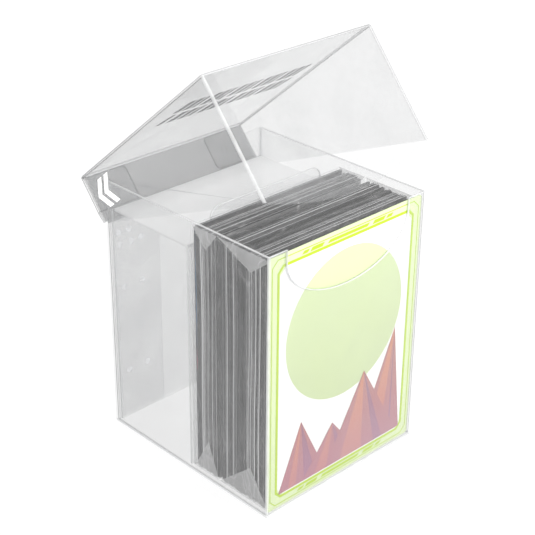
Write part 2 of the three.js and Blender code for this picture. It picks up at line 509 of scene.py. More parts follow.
def film_finish(name, facing):
    """Thin clear film, with crinkles whose ridges get a painted highlight, lighter and more solid."""
    material, tree, shader = new_material(name)
    folds = effect(tree, crinkle())
    rim = add(tree, "ShaderNodeLayerWeight", Blend=0.3).outputs["Facing"]
    solid = remap(tree, math_node(tree, "POWER", rim, 2.0), 0.0, 1.0, facing, 0.3 + facing)
    # Painted highlight: the crinkle ridges are made more solid and lighter.
    ridge = math_node(tree, "MULTIPLY", folds.outputs["Mask"], 0.06)
    tree.links.new(math_node(tree, "ADD", solid, ridge, clamp=True), shader.inputs["Alpha"])
    colour = blend_colour(tree, folds.outputs["Mask"], grey(0.80), grey(0.95))
    tree.links.new(colour, shader.inputs["Base Color"])
    roughen(tree, shader, folds, 0.08, 0.2, 0.6)
    shader.inputs["Specular IOR Level"].default_value = 0.2
    return material


def toned_finish(name, low, high, roughness, coat=0.0):
    """A finish whose brightness follows the tone that each card was given, with painted shading: brighter
    low down, darker high up.
    """
    material, tree, shader = new_material(name)
    tone = add(tree, "ShaderNodeAttribute", {"attribute_name": "tone"}).outputs["Fac"]
    grain = effect(tree, print_grain(), Size=700.0)
    # Painted shading: the tone is raised 1.5 times at the bottom and 1.1 times at the top.
    shaded = math_node(tree, "MULTIPLY", tone, remap(tree, place_along(tree, "Z"), 0.0, 0.088, 1.5, 1.1))
    worn = remap(tree, grain.outputs["Mask"], 0.3, 0.7, -0.06, 0.06)
    varied = math_node(tree, "ADD", shaded, worn, clamp=True)
    tree.links.new(blend_colour(tree, varied, low, high), shader.inputs["Base Color"])
    roughen(tree, shader, grain, roughness, roughness + 0.15, 0.3)
    shader.inputs["Coat Weight"].default_value = coat
    return material


def banded_finish(name):
    """A card's printed back seen from its side: muted bands of blue and red on near black."""
    material, tree, shader = new_material(name)
    grain = effect(tree, print_grain(), Size=400.0)
    worn = remap(tree, grain.outputs["Mask"], 0.3, 0.7, -0.03, 0.03)
    rise = remap(tree, place_along(tree, "Z"), 0.0, 0.095, 0.0, 1.0)
    bands = (
        (0.40, (0.04, 0.035, 0.04)),
        (0.44, (0.75, 0.06, 0.14)),
        (0.49, (0.05, 0.05, 0.06)),
        (0.62, (0.03, 0.22, 0.50)),
        (0.76, (0.05, 0.34, 0.66)),
        (0.90, (0.05, 0.14, 0.28)),
    )
    share = math_node(tree, "ADD", rise, worn, clamp=True)
    colour = colour_steps(tree, share, grey(0.03, 0.005), (1.0, (0.04, 0.05, 0.06, 1.0)), bands)
    tree.links.new(colour, shader.inputs["Base Color"])
    roughen(tree, shader, grain, 0.3, 0.45, 0.2)
    return material


def ringed_finish(name):
    """A plain card back: a dark border, a blue field and a small red panel, one inside another."""
    material, tree, shader = new_material(name)
    low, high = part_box("rear_pack_card_13")
    split = add(tree, "ShaderNodeSeparateXYZ", Vector=object_place(tree))
    across = math_node(tree, "DIVIDE", math_node(tree, "ABSOLUTE", split.outputs["X"]), high.x)
    rise = math_node(tree, "SUBTRACT", split.outputs["Z"], (low.z + high.z) / 2)
    up = math_node(tree, "DIVIDE", math_node(tree, "ABSOLUTE", rise), (high.z - low.z) / 2)
    grain = effect(tree, print_grain(), Size=500.0)
    worn = remap(tree, grain.outputs["Mask"], 0.3, 0.7, -0.01, 0.01)
    rings = (
        (0.22, (0.45, 0.47, 0.50)),
        (0.25, (0.05, 0.12, 0.24)),
        (0.60, (0.07, 0.18, 0.33)),
        (0.82, (0.40, 0.45, 0.50)),
        (0.84, (0.05, 0.12, 0.24)),
    )
    share = math_node(tree, "ADD", math_node(tree, "MAXIMUM", across, up), worn)
    inmost, outmost = (0.35, 0.07, 0.09, 1.0), (0.9, grey(0.02, 0.005))
    colour = colour_steps(tree, share, inmost, outmost, rings, "CONSTANT")
    tree.links.new(colour, shader.inputs["Base Color"])
    roughen(tree, shader, grain, 0.3, 0.45, 0.2)
    return material


def ink_finish(name, low, high, bottom, top, roughness=0.42, glow=0.0):
    """Ink that shades from one colour at height bottom to another at height top, with a print's grain."""
    material, tree, shader = new_material(name)
    grain = effect(tree, print_grain())
    rise = remap(tree, place_along(tree, "Z"), bottom, top, 0.0, 1.0)
    worn = remap(tree, grain.outputs["Mask"], 0.3, 0.7, -0.18, 0.18)
    colour = blend_colour(tree, math_node(tree, "ADD", rise, worn, clamp=True), low, high)
    tree.links.new(colour, shader.inputs["Base Color"])
    tree.links.new(colour, shader.inputs["Emission Color"])
    # A glow above naught is a painted glow.
    shader.inputs["Emission Strength"].default_value = glow
    roughen(tree, shader, grain, roughness, roughness + 0.1, 0.1)
    return material


# ---- Mesh work


def panel(bm, corners):
    """A flat panel through its corners, which are places or vertices."""
    return bm.faces.new(
        [corner if isinstance(corner, bmesh.types.BMVert) else bm.verts.new(corner) for corner in corners]
    )


def bevel(bm, geom, offset, segments, affect="EDGES"):
    """Rounds edges or corners, or cuts them off with one segment; the new faces."""
    made = bmesh.ops.bevel(
        bm,
        geom=geom,
        offset=offset,
        offset_type="OFFSET",
        segments=segments,
        profile=0.5,
        affect=affect,
        material=-1,
    )
    return made["faces"]


def round_corner(bm, point, radius, segments=6):
    """Rounds the panel's corner at a point."""
    corner = min(bm.verts, key=lambda vertex: (vertex.co - Vector(point)).length)
    bevel(bm, [corner], radius, segments, "VERTICES")


def border(bm, faces, width, even=True):
    """Splits a border off the faces' outline; the new faces."""
    made = bmesh.ops.inset_region(bm, faces=faces, thickness=width, use_boundary=True, use_even_offset=even)
    return made["faces"]


def long_edges(edges, axis, least):
    """The edges that run further than a length along X, Y or Z, which are axes 0, 1 and 2."""
    return [edge for edge in edges if abs(edge.verts[0].co[axis] - edge.verts[1].co[axis]) > least]


def fold(bm, radius, look=FOLD):
    """Joins the panels where they meet and bends the sheet round each fold, which gets its own look."""
    bmesh.ops.remove_doubles(bm, verts=bm.verts, dist=0.01 * MM)
    bmesh.ops.recalc_face_normals(bm, faces=bm.faces)
    folds = [edge for edge in bm.edges if len(edge.link_faces) == 2 and edge.calc_face_angle(0) > 0.7]
    for face in bevel(bm, folds, radius, 4):
        face.material_index = look


def block(bm, low, high):
    """A box between two corners; its vertices."""
    made = bmesh.ops.create_cube(bm, size=1.0)["verts"]
    size = Vector(high) - Vector(low)
    bmesh.ops.scale(bm, vec=size, verts=made)
    bmesh.ops.translate(bm, vec=(Vector(low) + Vector(high)) / 2, verts=made)
    return made


def arc(bm, start, centre, degrees, steps, stretch=1.0):
    """A row of vertices swept from a start round a centre in the XZ plane, and stretched upwards."""
    row = [bm.verts.new(start)]
    before = set(bm.verts)
    sweep = math.radians(degrees)
    bmesh.ops.spin(bm, geom=row, cent=centre, axis=(0, 1, 0), angle=sweep, steps=steps, use_duplicate=False)
    row += [vertex for vertex in bm.verts if vertex not in before]
    bmesh.ops.scale(bm, vec=(1, 1, stretch), space=Matrix.Translation(-Vector(centre)), verts=row)
    return row


def make_object(name, bm, finishes, place=None):
    """An object at the origin, with its place in its mesh."""
    if place:
        bmesh.ops.transform(bm, matrix=place, verts=bm.verts)
    mesh = bpy.data.meshes.new(name)
    bm.to_mesh(mesh)
    bm.free()
    for finish in finishes:
        mesh.materials.append(finish)
    made = bpy.data.objects.new(name, mesh)
    bpy.context.scene.collection.objects.link(made)
    return made


def thicken(made, name, thickness):
    """A live thickness on both sides of the mesh."""
    modifier = made.modifiers.new(name, "SOLIDIFY")
    modifier.thickness = thickness
    modifier.offset = 0.0
    return modifier


def settle(made):
    """Turns the object's modifiers into its mesh, and shades it smooth but for its hard corners."""
    graph = bpy.context.evaluated_depsgraph_get()
    before = made.data
    finished = bpy.data.meshes.new_from_object(made.evaluated_get(graph))
    made.modifiers.clear()
    made.data = finished
    finished.name = made.name
    bpy.data.meshes.remove(before)
    finished.shade_smooth()
    finished.set_sharp_from_angle(angle=math.radians(40))
    return made


def solid_sheet(name, bm, finishes, thickness, rounding, place=None, soft_below=0.0):
    """Gives a folded middle surface its thickness, with slightly rounded cut edges.

    The finishes are those of clear_sheet. A narrow margin along each cut edge has the edge's look, or the
    softer one where the face is dense or is below a height.
    """
    # The edge look on this margin is a painted glow.
    for face in border(bm, bm.faces[:], EDGE_MARGIN, even=False):
        soft = face.material_index == DENSE or face.calc_center_median().z < soft_below
        face.material_index = SOFT_EDGE if soft else EDGE
    made = make_object(name, bm, finishes, place)
    thicken(made, "thickness", thickness).use_even_offset = True
    rounded = made.modifiers.new("edges", "BEVEL")
    rounded.width = rounding
    rounded.segments = 2
    rounded.limit_method = "ANGLE"
    rounded.angle_limit = math.radians(60)
    return settle(made)


def make_dense(bm, axis, level=None):
    """Gives the denser look to the flat faces that look along an axis, or only those at one level."""
    for face in bm.faces:
        middle_point = face.calc_center_median()
        level_here = level is None or abs(middle_point[axis] - level) < 0.1 * MM
        if face.material_index == FACE and abs(face.normal[axis]) > 0.9 and level_here:
            face.material_index = DENSE


def keep_inside(made, boxes, place):
    """Brings in the few corner points that the thickness pushed out past the sheet's own boxes."""
    lows = [min(low[axis] for low, high in boxes) for axis in range(3)]
    highs = [max(high[axis] for low, high in boxes) for axis in range(3)]
    turned_back = place.inverted()
    for vertex in made.data.vertices:
        point = turned_back @ vertex.co
        kept = [min(max(value, least), most) for value, least, most in zip(point, lows, highs)]
        vertex.co = place @ Vector(kept)


def ride(made, body, slot, *nodes):
    """The piece moves with a body and stands for nodes; the slot is not used."""
    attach(made, body)
    if nodes:
        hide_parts(*nodes)
    return made


# ---- Folded box


class DECK_OT_box_walls(bpy.types.Operator):
    """Builds the bent sheet of the front wall, the side walls and their glue flaps"""

    bl_idname = "deck.box_walls"
    bl_label = "Box Walls"

    def execute(self, context):
        settings = context.scene.deck_sheet
        front = middle("front_wall").y
        rear = middle("left_glue_flap").y
        side = -middle("left_wall").x
        foot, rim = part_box("left_wall")[0].z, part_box("left_wall")[1].z
        flap_end = -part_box("left_glue_flap")[1].x
        flap_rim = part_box("left_glue_flap")[1].z
        notch, straight, bow = 27.4 * MM, 4.5 * MM, 16 * MM
        bm = bmesh.new()
        shoulder = Vector((0, front, rim - straight))
        hollow = arc(bm, shoulder + Vector((notch, 0, 0)), shoulder, 180, 32, bow / notch)
        left = [(-notch, front, rim), (-side, front, rim), (-side, front, foot)]
        panel(bm, [(side, front, foot), (side, front, rim), (notch, front, rim)] + hollow + left)
        for out in (-side, side):
            inner = math.copysign(flap_end, out)
            panel(bm, [(out, front, foot), (out, front, rim), (out, rear, rim), (out, rear, foot)])
            corners = [(out, rear, foot), (out, rear, rim), (inner, rear, flap_rim), (inner, rear, foot)]
            panel(bm, corners).material_index = DENSE
        for inner in (-flap_end, flap_end):
            round_corner(bm, (inner, rear, flap_rim), 4 * MM)
        fold(bm, settings.fold_radius)
        walls = solid_sheet("box_walls", bm, clear_sheet(), SHEET, settings.edge_round)
        ride(
            walls, "box", "body_sheet", "front_wall", "left_wall", "right_wall",
            "left_glue_flap", "right_glue_flap",
        )
        return {"FINISHED"}


class DECK_OT_box_strip(bpy.types.Operator):
    """Builds the bent sheet of the bottom and the rear wall"""

    bl_idname = "deck.box_strip"
    bl_label = "Box Bottom and Rear"

    def execute(self, context):
        settings = context.scene.deck_sheet
        low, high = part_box("bottom_panel")
        level = (low.z + high.z) / 2
        rear = middle("rear_wall").y
        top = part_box("rear_wall")[1].z
        bm = bmesh.new()
        left, right = (low.x, rear, level), (high.x, rear, level)
        panel(bm, [(low.x, low.y, level), (high.x, low.y, level), right, left])
        panel(bm, [left, right, (high.x, rear, top), (low.x, rear, top)]).material_index = DENSE
        fold(bm, settings.fold_radius, look=FACE)
        finishes = clear_sheet("clear_strip", 0.06, 0.15, 0.09)
        strip = solid_sheet("box_strip", bm, finishes, SHEET, settings.edge_round)
        ride(strip, "box", "body_sheet", "bottom_panel", "rear_wall")
        return {"FINISHED"}


class DECK_OT_weld_spots(bpy.types.Operator):
    """Builds the weld spots on the glue flaps of the box and the lid"""

    bl_idname = "deck.weld_spots"
    bl_label = "Weld Spots"

    # Height of each row on the box's flaps, and how far in from the side wall its spots are.
    rows = (
        (74.5 * MM, (4 * MM, 8.5 * MM)),
        (69.7 * MM, (4.3 * MM, 9 * MM, 13.3 * MM)),
        (53 * MM, (5.5 * MM, 13.5 * MM)),
        (19.5 * MM, (6.1 * MM, 14.4 * MM)),
    )

    def execute(self, context):
        radius = context.scene.deck_sheet.weld_radius
        # The weld spots' brightness is a painted glow.
        finish = painted_glow_finish("weld_spot", (0.90, 0.90, 0.91), 0.35, 0.6)
        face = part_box("left_glue_flap")[0].y
        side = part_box("right_wall")[1].x
        bm = bmesh.new()
        for height, insets in self.rows:
            for inset in insets:
                for sign in (-1, 1):
                    self.spot(bm, (sign * (side - inset), face, height), radius)
        ride(settle(make_object("box_weld_spots", bm, [finish])), "box", "body_sheet")

        low, high = shut_box("lid_left_glue_flap")
        bm = bmesh.new()
        for inset in (5 * MM, 12 * MM):
            for sign in (-1, 1):
                self.spot(bm, (sign * (-low.x - inset), high.y, (low.z + high.z) / 2), radius)
        spots = make_object("lid_weld_spots", bm, [finish], LID_PLACE)
        ride(settle(spots), "lid", "lid_sheet")
        return {"FINISHED"}

    def spot(self, bm, centre, radius):
        """A shallow lens with a dimple, on a flap's face."""
        made = bmesh.ops.create_uvsphere(bm, u_segments=20, v_segments=10, radius=radius)["verts"]
        bmesh.ops.rotate(bm, cent=(0, 0, 0), matrix=Matrix.Rotation(math.radians(90), 3, "X"), verts=made)
        flatness, dimple = 0.06, 0.10
        for vertex in made:
            ring = math.hypot(vertex.co.x, vertex.co.z) / radius
            vertex.co.y *= flatness + dimple * ring
        bmesh.ops.translate(bm, vec=centre, verts=made)


# ---- Lid


class DECK_OT_lid(bpy.types.Operator):
    """Builds the lid as one bent sheet, with its front flap, its sides and their glue flaps"""

    bl_idname = "deck.lid"
    bl_label = "Lid"

    def execute(self, context):
        settings = context.scene.deck_sheet
        side = -shut_middle("lid_left_side").x
        front = shut_middle("lid_front_flap").y
        top = shut_middle("lid_top_panel").z
        rear = shut_middle("lid_rear_panel").y
        foot = shut_box("lid_rear_panel")[0].z
        rear_side = -shut_box("lid_rear_panel")[0].x
        flap_low, flap_high = shut_box("lid_left_glue_flap")
        flap = (flap_low.y + flap_high.y) / 2
        side_foot = shut_box("lid_left_side")[0].z
        tongue = shut_box("lid_front_flap")[0].z
        bm = bmesh.new()
        hinge_side = [(across, rear, top) for across in (side, rear_side, -rear_side, -side)]
        panel(bm, [(-side, front, top), (side, front, top)] + hinge_side)
        sag = side_foot - tongue
        radius = (side * side + sag * sag) / (2 * sag)
        sweep = math.degrees(math.asin(side / radius))
        curve = arc(bm, (-side, front, side_foot), (0, front, tongue + radius), -2 * sweep, 40)
        panel(bm, [(side, front, top), (-side, front, top)] + curve)
        panel(bm, [(-rear_side, rear, foot), (rear_side, rear, foot)] + hinge_side[1:3])
        for out in (-side, side):
            inner = math.copysign(flap_high.x, out)
            below, above = (out, flap, flap_low.z), (out, flap, flap_high.z)
            edge = [(out, front, top), (out, front, side_foot), (out, rear, foot)]
            panel(bm, edge + [below, above, (out, rear, top)])
            panel(bm, [below, (inner, flap, flap_low.z), (inner, flap, flap_high.z), above])
        for inner in (flap_high.x, -flap_high.x):
            round_corner(bm, (inner, flap, flap_low.z), 2 * MM)
            round_corner(bm, (inner, flap, flap_high.z), 2 * MM)
        fold(bm, settings.fold_radius)
        # The rear panel gets the denser look; its darker tint (shade 0.44) is painted shade, and the lid's
        # larger haze paints streaks of reflection and shade.
        make_dense(bm, 1, rear)
        finishes = clear_sheet("clear_lid", 0.075, 0.36, 0.45, 0.44, 0.07)
        lid = solid_sheet("lid_sheet", bm, finishes, SHEET, settings.edge_round, LID_PLACE)
        keep_inside(lid, [shut_box(node) for node in nodes_named("lid_")], LID_PLACE)
        ride(lid, "lid", "lid_sheet", *nodes_named("lid_"))
        return {"FINISHED"}


class DECK_OT_hinge(bpy.types.Operator):
    """Builds the living hinge, a thin web that bends between the rear wall and the lid"""

    bl_idname = "deck.hinge"
    bl_label = "Living Hinge"

    def execute(self, context):
        half = context.scene.deck_sheet.hinge_thickness / 2
        start = Vector((0, middle("rear_wall").y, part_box("rear_wall")[1].z))
        end = LID_PLACE @ Vector((0, shut_middle("lid_rear_panel").y, shut_box("lid_rear_panel")[0].z))
        width = -shut_box("lid_rear_panel")[0].x - 1 * MM
        overlap = 0.15 * MM
        bm = bmesh.new()
        block(bm, (-width, start.y - half, start.z - overlap), (width, start.y + half, end.z + overlap))
        upright = long_edges(bm.edges, 2, overlap)
        bmesh.ops.subdivide_edges(bm, edges=upright, cuts=4, use_grid_fill=True)
        for vertex in bm.verts:
            share = (vertex.co.z - start.z) / (end.z - start.z)
            vertex.co.y += (end.y - start.y) * min(max(share, 0.0), 1.0)
        hinge = settle(make_object("living_hinge", bm, [clear_sheet()[FOLD]]))
        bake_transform(hinge)
        return {"FINISHED"}


class DECK_OT_lid_marks(bpy.types.Operator):
    """Builds the plain marks on the lid: rows of slanted bars on top, and chevrons on the left side"""

    bl_idname = "deck.lid_marks"
    bl_label = "Lid Marks"

    def execute(self, context):
        ink = context.scene.deck_print.ink
        level = shut_box("lid_top_panel")[1].z + ink
        dark = ink_finish("dark_mark", grey(0.006, 0.001), grey(0.015, 0.001), 0.0, 0.15)
        bm = bmesh.new()
        row_length, row_start, row_step, slant = 56 * MM, -26 * MM, 1.5 * MM, 3 * MM
        for row, (near, far, count) in enumerate(((36 * MM, 43 * MM, 13), (45 * MM, 53 * MM, 15))):
            pitch = row_length / count
            for bar in range(count):
                left = row_start + bar * pitch + row * row_step
                right = left + pitch * (0.72 if (bar + row) % 3 else 0.45)
                far_side = [(right + slant, -far, level), (left + slant, -far, level)]
                panel(bm, [(left, -near, level), (right, -near, level)] + far_side)
        ride(settle(self.raised("lid_top_marks", bm, dark, ink)), "lid", "lid_sheet")

        # The pale chevrons glow a little: a painted glow.
        pale = ink_finish("pale_mark", grey(0.92), grey(1.0), 0.0, 0.15, glow=0.5)
        out = shut_box("lid_left_side")[0].x - ink
        bm = bmesh.new()
        for step in (0.0, 4.5 * MM):
            tip = Vector((out, -4.5 * MM - step, 8 * MM))
            for rise in (5 * MM, -5 * MM):
                back = tip + Vector((0, -4 * MM, rise))
                across = Vector((0, -2.6 * MM, 0))
                panel(bm, [tip, tip + across, back + across, back])
        ride(settle(self.raised("lid_side_mark", bm, pale, ink)), "lid", "lid_sheet")
        return {"FINISHED"}

    def raised(self, name, bm, finish, ink):
        """Marks as a layer of ink, on the lid as it stands."""
        bmesh.ops.remove_doubles(bm, verts=bm.verts, dist=0.001 * MM)
        bmesh.ops.recalc_face_normals(bm, faces=bm.faces)
        made = make_object(name, bm, [finish], LID_PLACE)
        thicken(made, "ink", ink)
        return made


# ---- Packs of cards


class DECK_OT_cards(bpy.types.Operator):
    """Builds the two packs of sleeved cards"""

    bl_idname = "deck.cards"
    bl_label = "Sleeved Cards"

    # Looks of the parts of a sleeved card, in the order of its finishes.
    FILM, SEAM, CORE, BANDED_SIDE, BACK = range(5)

    def execute(self, context):
        chance = random.Random(context.scene.deck_cards.seed)
        finishes = [
            toned_finish("sleeve_film", grey(0.01, 0.001), grey(0.95, 0.01), 0.25, 0.3),
            toned_finish("sleeve_seam", grey(0.002), grey(0.95, 0.01), 0.3),
            toned_finish("card_core", grey(0.002), grey(0.40, 0.01), 0.35),
            banded_finish("card_side"),
            ringed_finish("card_back"),
        ]
        for pack in ("front_pack", "rear_pack"):
            names = nodes_named(pack + "_card_")
            bm = bmesh.new()
            tone = bm.faces.layers.float.new("tone")
            for number, name in enumerate(names):
                last = pack == "rear_pack" and number == len(names) - 1
                between = number == (0 if pack == "rear_pack" else len(names) - 1)
                self.card(bm, tone, name, chance, context.scene.deck_cards, last, between)
            self.bend(bm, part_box(names[0])[0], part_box(names[-1])[1])
            made = make_object(pack + "_cards", bm, finishes)
            ride(made, pack, "card_sleeves", *names)
        return {"FINISHED"}

    def card(self, bm, tone, name, chance, settings, last, between):
        """One sleeve of two films with a card in it, standing a little unevenly."""
        low, high = [corner.copy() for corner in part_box(name)]
        sunk = chance.random() < 0.14 or between
        high.z -= settings.drop * (2.2 if sunk else chance.random() ** 1.5)
        shift = settings.sideways * chance.uniform(-1, 1)
        low.x += shift
        high.x += shift
        film = settings.sleeve_film * chance.uniform(0.7, 1.6)
        slack = 0.16 * MM * chance.random()
        margin = settings.card_margin
        # A random tone for each sleeve; sunk sleeves are darkened to a fifth, a painted shade between their
        # neighbours.
        light = chance.choice((0.0, 0.06, 0.3, 0.8, 1.0, 1.0)) * (0.2 if sunk else 1.0)
        front = block(bm, low, (high.x, low.y + film, high.z))
        back = block(bm, (low.x, high.y - film - slack, low.z), (high.x, high.y - slack, high.z))
        self.paint(tone, front, self.FILM, light)
        self.paint(tone, back, self.BACK if last else self.FILM, light * chance.random() ** 2)
        for edge, sign in ((low.x, 1), (high.x, -1)):
            inner, outer = sorted((edge + sign * 0.9 * MM, edge + sign * 0.25 * MM))
            top = high.z - margin * 0.4
            seam = block(bm, (inner, low.y + film, low.z), (outer, high.y - film - slack, top))
            look = self.BANDED_SIDE if last else self.SEAM
            self.paint(tone, seam, look, light * chance.choice((0.1, 0.4, 0.7, 1.0)))
        core = block(
            bm,
            (low.x + margin, low.y + film * 1.2, low.z + 0.2 * MM),
            (high.x - margin, high.y - film * 1.2 - slack, high.z - margin),
        )
        self.paint(tone, core, self.CORE, chance.random() ** 4)
        edges = dict.fromkeys(edge for vertex in core for edge in vertex.link_edges)
        bevel(bm, long_edges(edges, 1, 0.1 * MM), settings.card_corner, 4)

    def paint(self, tone, vertices, look, value):
        """Gives a block its look and its tone; the tone is low where a sleeve faces its neighbours, a
        painted shade between the sleeves.
        """
        for face in {face for vertex in vertices for face in vertex.link_faces}:
            face.normal_update()
            in_painted_shade = look == self.FILM and abs(face.normal.y) > 0.9
            face.material_index = look
            face[tone] = value * 0.1 if in_painted_shade else value

    def bend(self, bm, low, high):
        """Bows the cards together a little, as a pressed pack stands; its first and last stay flat."""
        bmesh.ops.subdivide_edges(bm, edges=long_edges(bm.edges, 2, 50 * MM), cuts=7, use_grid_fill=True)
        bow = 0.28 * MM
        for vertex in bm.verts:
            deep = (vertex.co.y - low.y) / (high.y - low.y)
            tall = (vertex.co.z - low.z) / (high.z - low.z)
            wave = math.sin(math.pi * tall * 1.5 + 2 * deep) + 0.5 * math.sin(9 * tall + vertex.co.x * 40)
            vertex.co.y += bow * wave * math.sin(math.pi * min(max(deep, 0.0), 1.0))


class DECK_OT_films(bpy.types.Operator):
    """Builds the clear film around each pack, and its envelope folds at the pack's narrow sides"""

    bl_idname = "deck.films"
    bl_label = "Pack Films"

    def execute(self, context):
        film = context.scene.deck_cards.film
        # The film's folded edges get a painted glow.
        finishes = [
            film_finish("film", 0.035),
            painted_glow_finish("film_edge", grey(0.95)[:3], 0.9, 0.35),
            film_finish("film_leaf", 0.3),
        ]
        for pack in ("front_pack", "rear_pack"):
            self.tube(pack, film, finishes)
            self.folds(pack, film, finishes)
        return {"FINISHED"}

    def tube(self, pack, film, finishes):
        """The film around the front, top, rear and underside, slightly slack on top."""
        low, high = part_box(pack + "_wrap")
        inset = Vector((0, film / 2, film / 2))
        bm = bmesh.new()
        block(bm, low + inset, high - inset)
        ends = [face for face in bm.faces if abs(face.normal.x) > 0.9]
        bmesh.ops.delete(bm, geom=ends, context="FACES")
        bevel(bm, long_edges(bm.edges, 0, 1 * MM), 0.5 * MM, 3)
        top = [face for face in bm.faces if face.normal.z > 0.99]
        edges = list(dict.fromkeys(edge for face in top for edge in face.edges))
        bmesh.ops.subdivide_edges(bm, edges=edges, cuts=14, use_grid_fill=True)
        crown = high.z - inset.z - 0.01 * MM
        sag = 0.12 * MM
        for vertex in bm.verts:
            if vertex.co.z > crown:
                slack = noise.noise(Vector((vertex.co.x * 90, vertex.co.y * 260, 0.5)))
                vertex.co.z -= sag * (0.5 + slack)
        made = make_object(pack + "_film", bm, finishes[:1])
        thicken(made, "film", film)
        ride(settle(made), pack, "wrap_film", pack + "_wrap")

    def folds(self, pack, film, finishes):
        """Flat folds at each narrow side: a triangle at the top and the bottom, and two leaves over them."""
        low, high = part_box(pack + "_wrap")
        seam = low.y + (high.y - low.y) * (0.36 if pack == "front_pack" else 0.42)
        upper, lower = high.z - 6.6 * MM, low.z + 13 * MM
        lap, lip = 1.6 * MM, 0.3 * MM
        bm = bmesh.new()
        for sign in (-1, 1):
            side = high.x * sign
            self.leaf(bm, side, 0, [(low.y, high.z), (high.y, high.z), (seam, upper)])
            self.leaf(bm, side, 0, [(low.y, low.z), (high.y, low.z), (seam, lower)])
            for layer, edge, reach in ((1, low.y, seam + lap), (2, high.y, seam - lap)):
                corners = [(edge, high.z - lip), (reach, upper), (reach, lower), (edge, low.z + lip)]
                self.leaf(bm, side, layer, corners)
        bmesh.ops.recalc_face_normals(bm, faces=bm.faces)
        made = make_object(pack + "_film_folds", bm, finishes)
        thicken(made, "film", film).material_offset_rim = 1
        ride(settle(made), pack, "wrap_film")

    def leaf(self, bm, side, layer, corners):
        """One flat leaf of film, on its own layer outside the pack, with a folded border made bright by a
        painted glow.
        """
        across = side + math.copysign((0.55 + 0.2 * layer) * MM, side)
        face = panel(bm, [(across, y, z) for y, z in corners])
        face.material_index = 2 if layer == 0 else 0
        for strip in border(bm, [face], 0.4 * MM):
            strip.material_index = 1


# ---- Divider and riser


class DECK_OT_divider(bpy.types.Operator):
    """Builds the flat divider with its finger tab"""

    bl_idname = "deck.divider"
    bl_label = "Divider"

    def execute(self, context):
        settings = context.scene.deck_sheet
        points = [vertex.co for vertex in frame["nodes"]["tab_divider"].data.vertices]
        low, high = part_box("tab_divider")
        level = (low.y + high.y) / 2
        shoulder = max(point.z for point in points if point.x > high.x - 1 * MM)
        tab = max(point.x for point in points if point.z > shoulder + 1 * MM)
        bm = bmesh.new()
        right = [(high.x, low.z), (high.x, shoulder), (tab, shoulder), (tab, high.z)]
        left = [(-tab, high.z), (-tab, shoulder), (low.x, shoulder)]
        panel(bm, [(x, level, z) for x, z in [(low.x, low.z)] + right + left])
        for corner in (tab, -tab):
            round_corner(bm, (corner, level, high.z), 4 * MM)
        divider = solid_sheet("divider_sheet", bm, clear_sheet(), high.y - low.y, settings.edge_round)
        ride(divider, "divider", "divider_sheet", "tab_divider")
        return {"FINISHED"}


class DECK_OT_riser(bpy.types.Operator):
    """Builds the folded riser"""

    bl_idname = "deck.riser"
    bl_label = "Riser"

    def execute(self, context):
        settings = context.scene.deck_sheet
        front = middle("riser_front_leg").y
        rear = middle("riser_rear_leg").y
        top = middle("riser_shelf").z
        low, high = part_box("riser_front_leg")
        bm = bmesh.new()
        for y in (front, rear):
            panel(bm, [(low.x, y, low.z), (high.x, y, low.z), (high.x, y, top), (low.x, y, top)])
        panel(bm, [(low.x, front, top), (high.x, front, top), (high.x, rear, top), (low.x, rear, top)])
        fold(bm, settings.fold_radius)
        make_dense(bm, 2)
        finishes = clear_sheet()
        finishes[DENSE] = clear_finish("frosted_sheet", settings.frost_tint, 0.5, 0.7, 0.05, 0.3)
        hem = low.z + 1 * MM
        riser = solid_sheet("riser_sheet", bm, finishes, SHEET, settings.edge_round, soft_below=hem)
        ride(riser, "riser", "riser_sheet", *nodes_named("riser_"))
        return {"FINISHED"}


# ---- Printed insert


